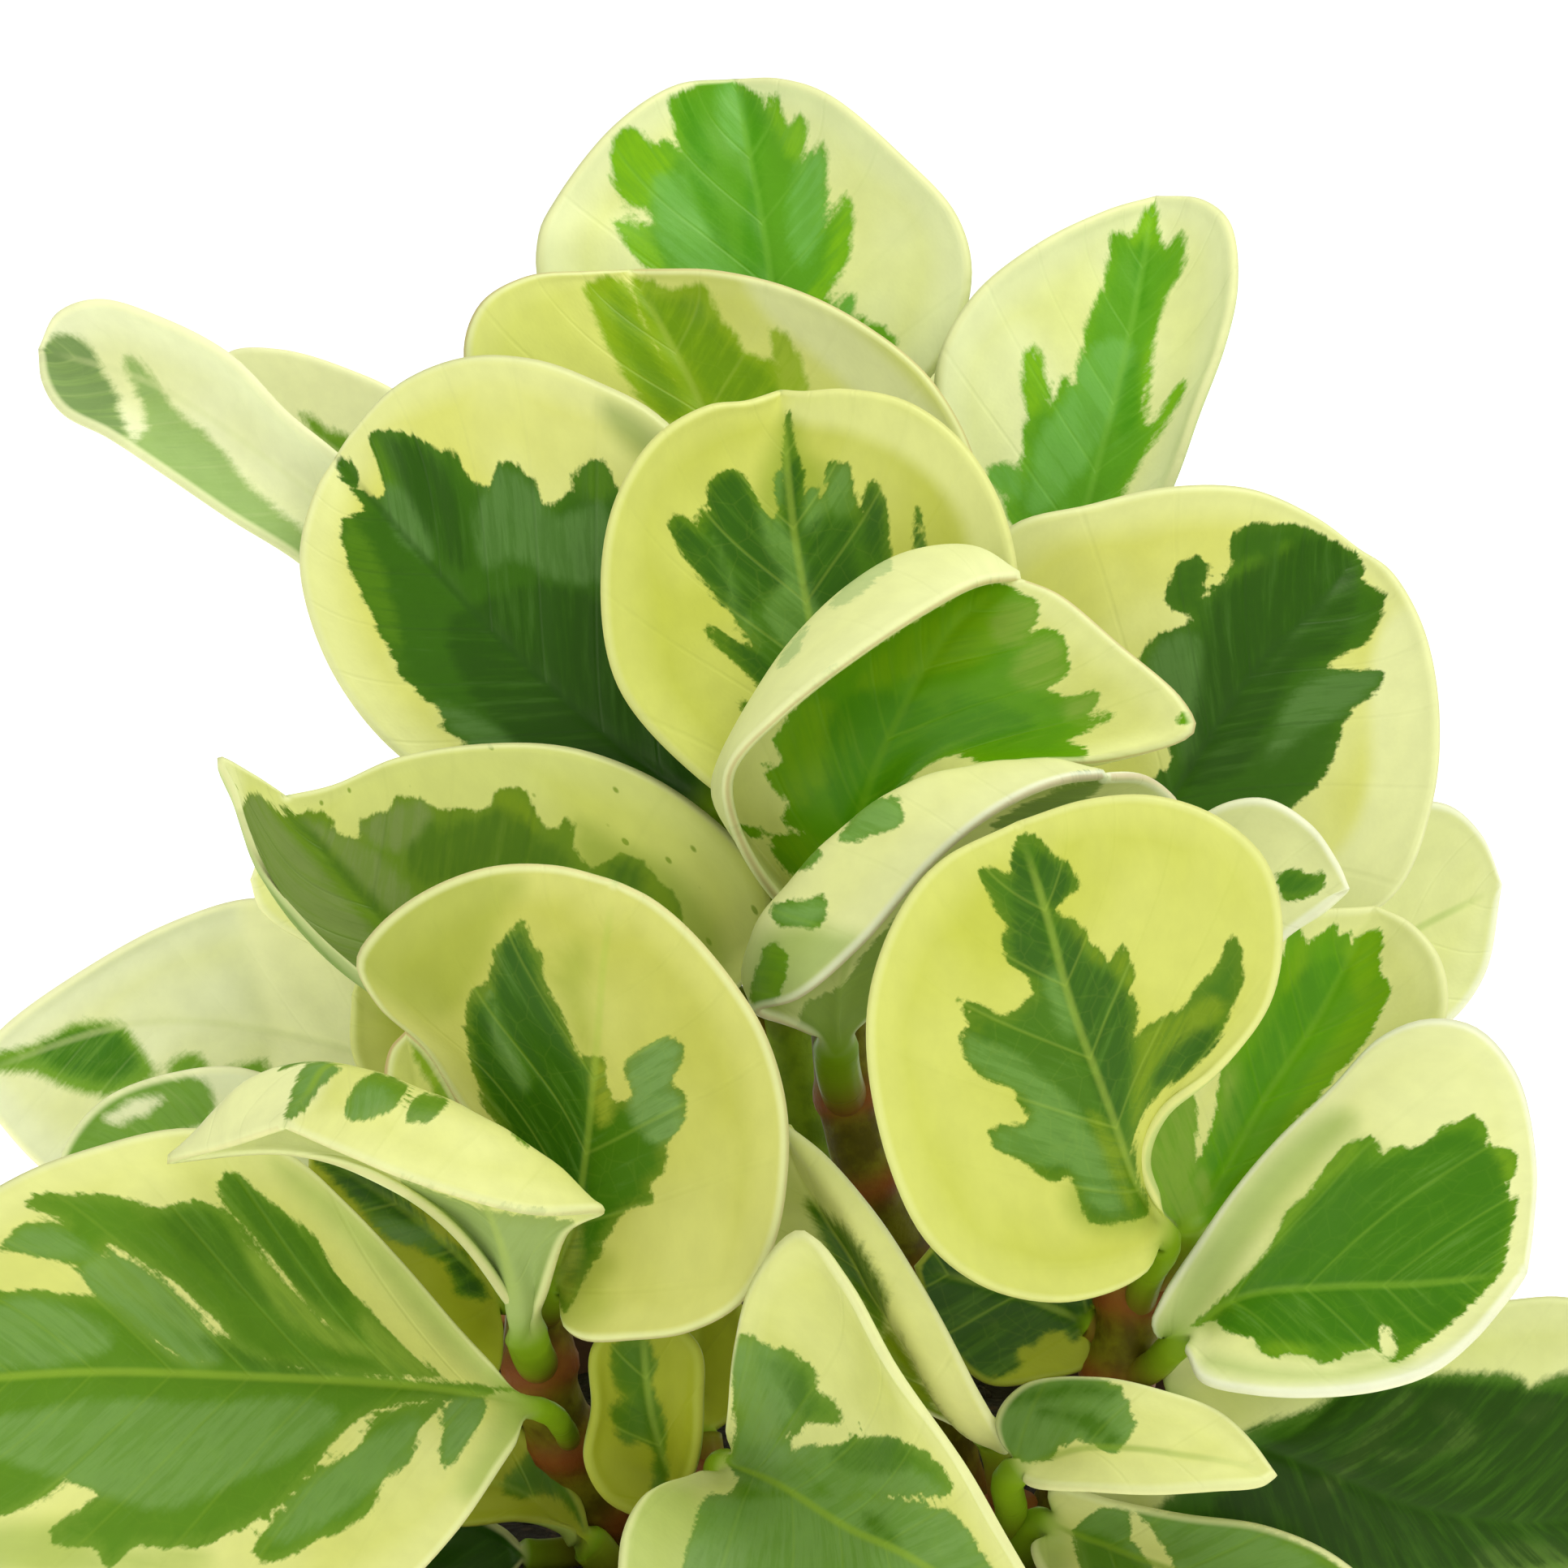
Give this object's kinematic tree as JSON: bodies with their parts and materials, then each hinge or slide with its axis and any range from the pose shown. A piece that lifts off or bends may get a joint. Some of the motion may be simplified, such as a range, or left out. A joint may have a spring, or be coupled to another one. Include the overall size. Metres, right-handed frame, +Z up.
{
  "type": "potted peperomia plant",
  "caption": "Bushy variegated peperomia with thick round cream and green leaves on reddish stems, growing from soil in a plain tapered clay pot with a straight rim band.",
  "frame": {"origin": "centre of the pot's underside, on the surface it stands on", "axes": "+Z up; -Y towards the front, the side seen in the picture; +X to the right as seen from the front"},
  "size_m": [0.2204, 0.2043, 0.2728],
  "materials": {
    "clay": "plain unglazed clay, matt, with a little mineral bloom",
    "soil": "dark loose potting mix, matt",
    "stem": "smooth reddish brown stem, green in places, satin",
    "foliage": "thick waxy leaf, cream yellow margins round jagged green centres, soft gloss"
  },
  "bodies": {
    "root": {"pot": "clay", "soil": "soil", "stem_centre": "stem", "stem_left": "stem", "stem_right": "stem", "stem_front_right": "stem", "stem_front_left": "stem", "stem_back": "stem", "leaf_crown_back": "foliage", "leaf_crown_wide": "foliage", "leaf_upper_left_rolled": "foliage", "leaf_upper_left_pale": "foliage", "leaf_upper_right_long": "foliage", "leaf_left_dark": "foliage", "leaf_centre_round": "foliage", "leaf_centre_hood": "foliage", "leaf_right_dark": "foliage", "leaf_centre_curled": "foliage", "leaf_left_folded": "foliage", "leaf_front_left_round": "foliage", "leaf_front_right_round": "foliage", "leaf_right_small": "foliage", "leaf_right_pale": "foliage", "leaf_right_bright": "foliage", "leaf_right_spoon": "foliage", "leaf_left_back_pale": "foliage", "leaf_left_grey": "foliage", "leaf_left_near": "foliage", "leaf_left_horn": "foliage", "sprout_left": "foliage", "leaf_left_shaded": "foliage", "leaf_front_small_cup": "foliage", "leaf_front_low": "foliage", "leaf_front_narrow": "foliage", "leaf_front_level": "foliage", "leaf_middle_shaded": "foliage", "leaf_right_low_dark": "foliage", "leaf_right_low_front": "foliage", "leaf_low_strap": "foliage", "leaf_low_dark": "foliage", "leaf_middle_olive": "foliage", "leaf_left_sliver": "foliage", "leaf_left_olive": "foliage", "leaf_back_1": "foliage", "leaf_back_2": "foliage", "leaf_back_3": "foliage", "leaf_back_4": "foliage", "leaf_back_5": "foliage", "leaf_back_6": "foliage", "leaf_back_7": "foliage", "leaf_back_8": "foliage", "leaf_back_9": "foliage", "leaf_back_10": "foliage", "leaf_back_11": "foliage", "leaf_back_12": "foliage", "leaf_side_1": "foliage", "leaf_side_2": "foliage", "leaf_side_3": "foliage", "leaf_side_4": "foliage"}
  },
  "joints": []
}
